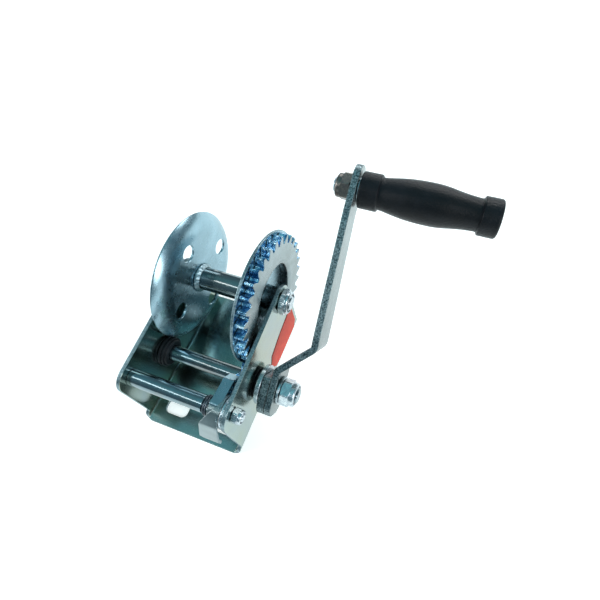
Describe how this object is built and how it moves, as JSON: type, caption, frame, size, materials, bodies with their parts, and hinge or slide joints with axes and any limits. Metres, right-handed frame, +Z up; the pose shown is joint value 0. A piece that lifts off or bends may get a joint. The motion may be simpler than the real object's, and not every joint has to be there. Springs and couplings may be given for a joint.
{
  "type": "boat trailer winch",
  "caption": "Hand winch for a boat trailer: geared drum in a bent steel bracket, with a crank and a ratchet pawl.",
  "frame": {"origin": "underside of the base, midway between the side plates, level with their front edges", "axes": "+X along the shafts towards the crank, +Y from the pawl end to the drum end, +Z up from the base"},
  "size_m": [0.2246, 0.1966, 0.1316],
  "materials": {
    "zinc_sheet": "bright zinc plate, slightly bluish",
    "zinc_fastener": "bright zinc plate",
    "gear_steel": "zinc plated pressed steel",
    "weld_metal": "zinc plated weld bead, rippled",
    "spring_steel": "dark spring steel",
    "bush_plastic": "black nylon",
    "grip_plastic": "black plastic, finely textured",
    "red_label": "plain red sticker"
  },
  "bodies": {
    "frame": {"frame_bracket": "zinc_sheet", "warning_label": "red_label", "axle_bolt": "zinc_fastener", "axle_nut": "zinc_fastener", "left_drum_spacer": "zinc_sheet", "right_drum_spacer": "zinc_sheet", "left_shaft_bush": "bush_plastic", "right_shaft_bush": "bush_plastic", "pawl_bolt": "zinc_fastener", "pawl_nut": "zinc_fastener", "pawl_spacer_tube": "zinc_sheet", "pawl_washer": "zinc_fastener", "pawl_spring": "spring_steel"},
    "drum": {"drum_barrel": "zinc_sheet", "left_flange": "zinc_sheet", "right_flange": "zinc_sheet", "drum_gear": "gear_steel", "left_weld_bead": "weld_metal", "right_weld_bead": "weld_metal"},
    "crank": {"pinion_shaft": "zinc_sheet", "shaft_clip": "spring_steel", "pinion_gear": "gear_steel", "inner_crank_washer": "zinc_fastener", "hub_plate": "zinc_sheet", "crank_arm": "zinc_sheet", "outer_crank_washer": "zinc_fastener", "crank_nut": "zinc_fastener", "grip_bolt": "zinc_fastener", "grip_washer": "zinc_fastener", "grip_nut": "zinc_fastener"},
    "grip": {"grip": "grip_plastic"},
    "pawl": {"pawl": "gear_steel"}
  },
  "joints": [
    {"name": "drum_spin", "type": "hinge", "parent": "frame", "child": "drum", "pos_m": [0, 0.099, 0.0625], "axis": [1, 0, 0], "continuous": true},
    {"name": "crank_spin", "type": "hinge", "parent": "frame", "child": "crank", "pos_m": [0, 0.04383, 0.03167], "axis": [1, 0, 0], "continuous": true},
    {"name": "grip_spin", "type": "hinge", "parent": "crank", "child": "grip", "pos_m": [0, 0.17466, 0.11663], "axis": [1, 0, 0], "continuous": true},
    {"name": "pawl_swing", "type": "hinge", "parent": "frame", "child": "pawl", "pos_m": [0, 0.013, 0.0545], "axis": [1, 0, 0], "range_deg": [-15.8, 20]}
  ],
  "couplings": [
    {"joint": "crank_spin", "follows": "drum_spin", "ratio": -2.9091}
  ]
}
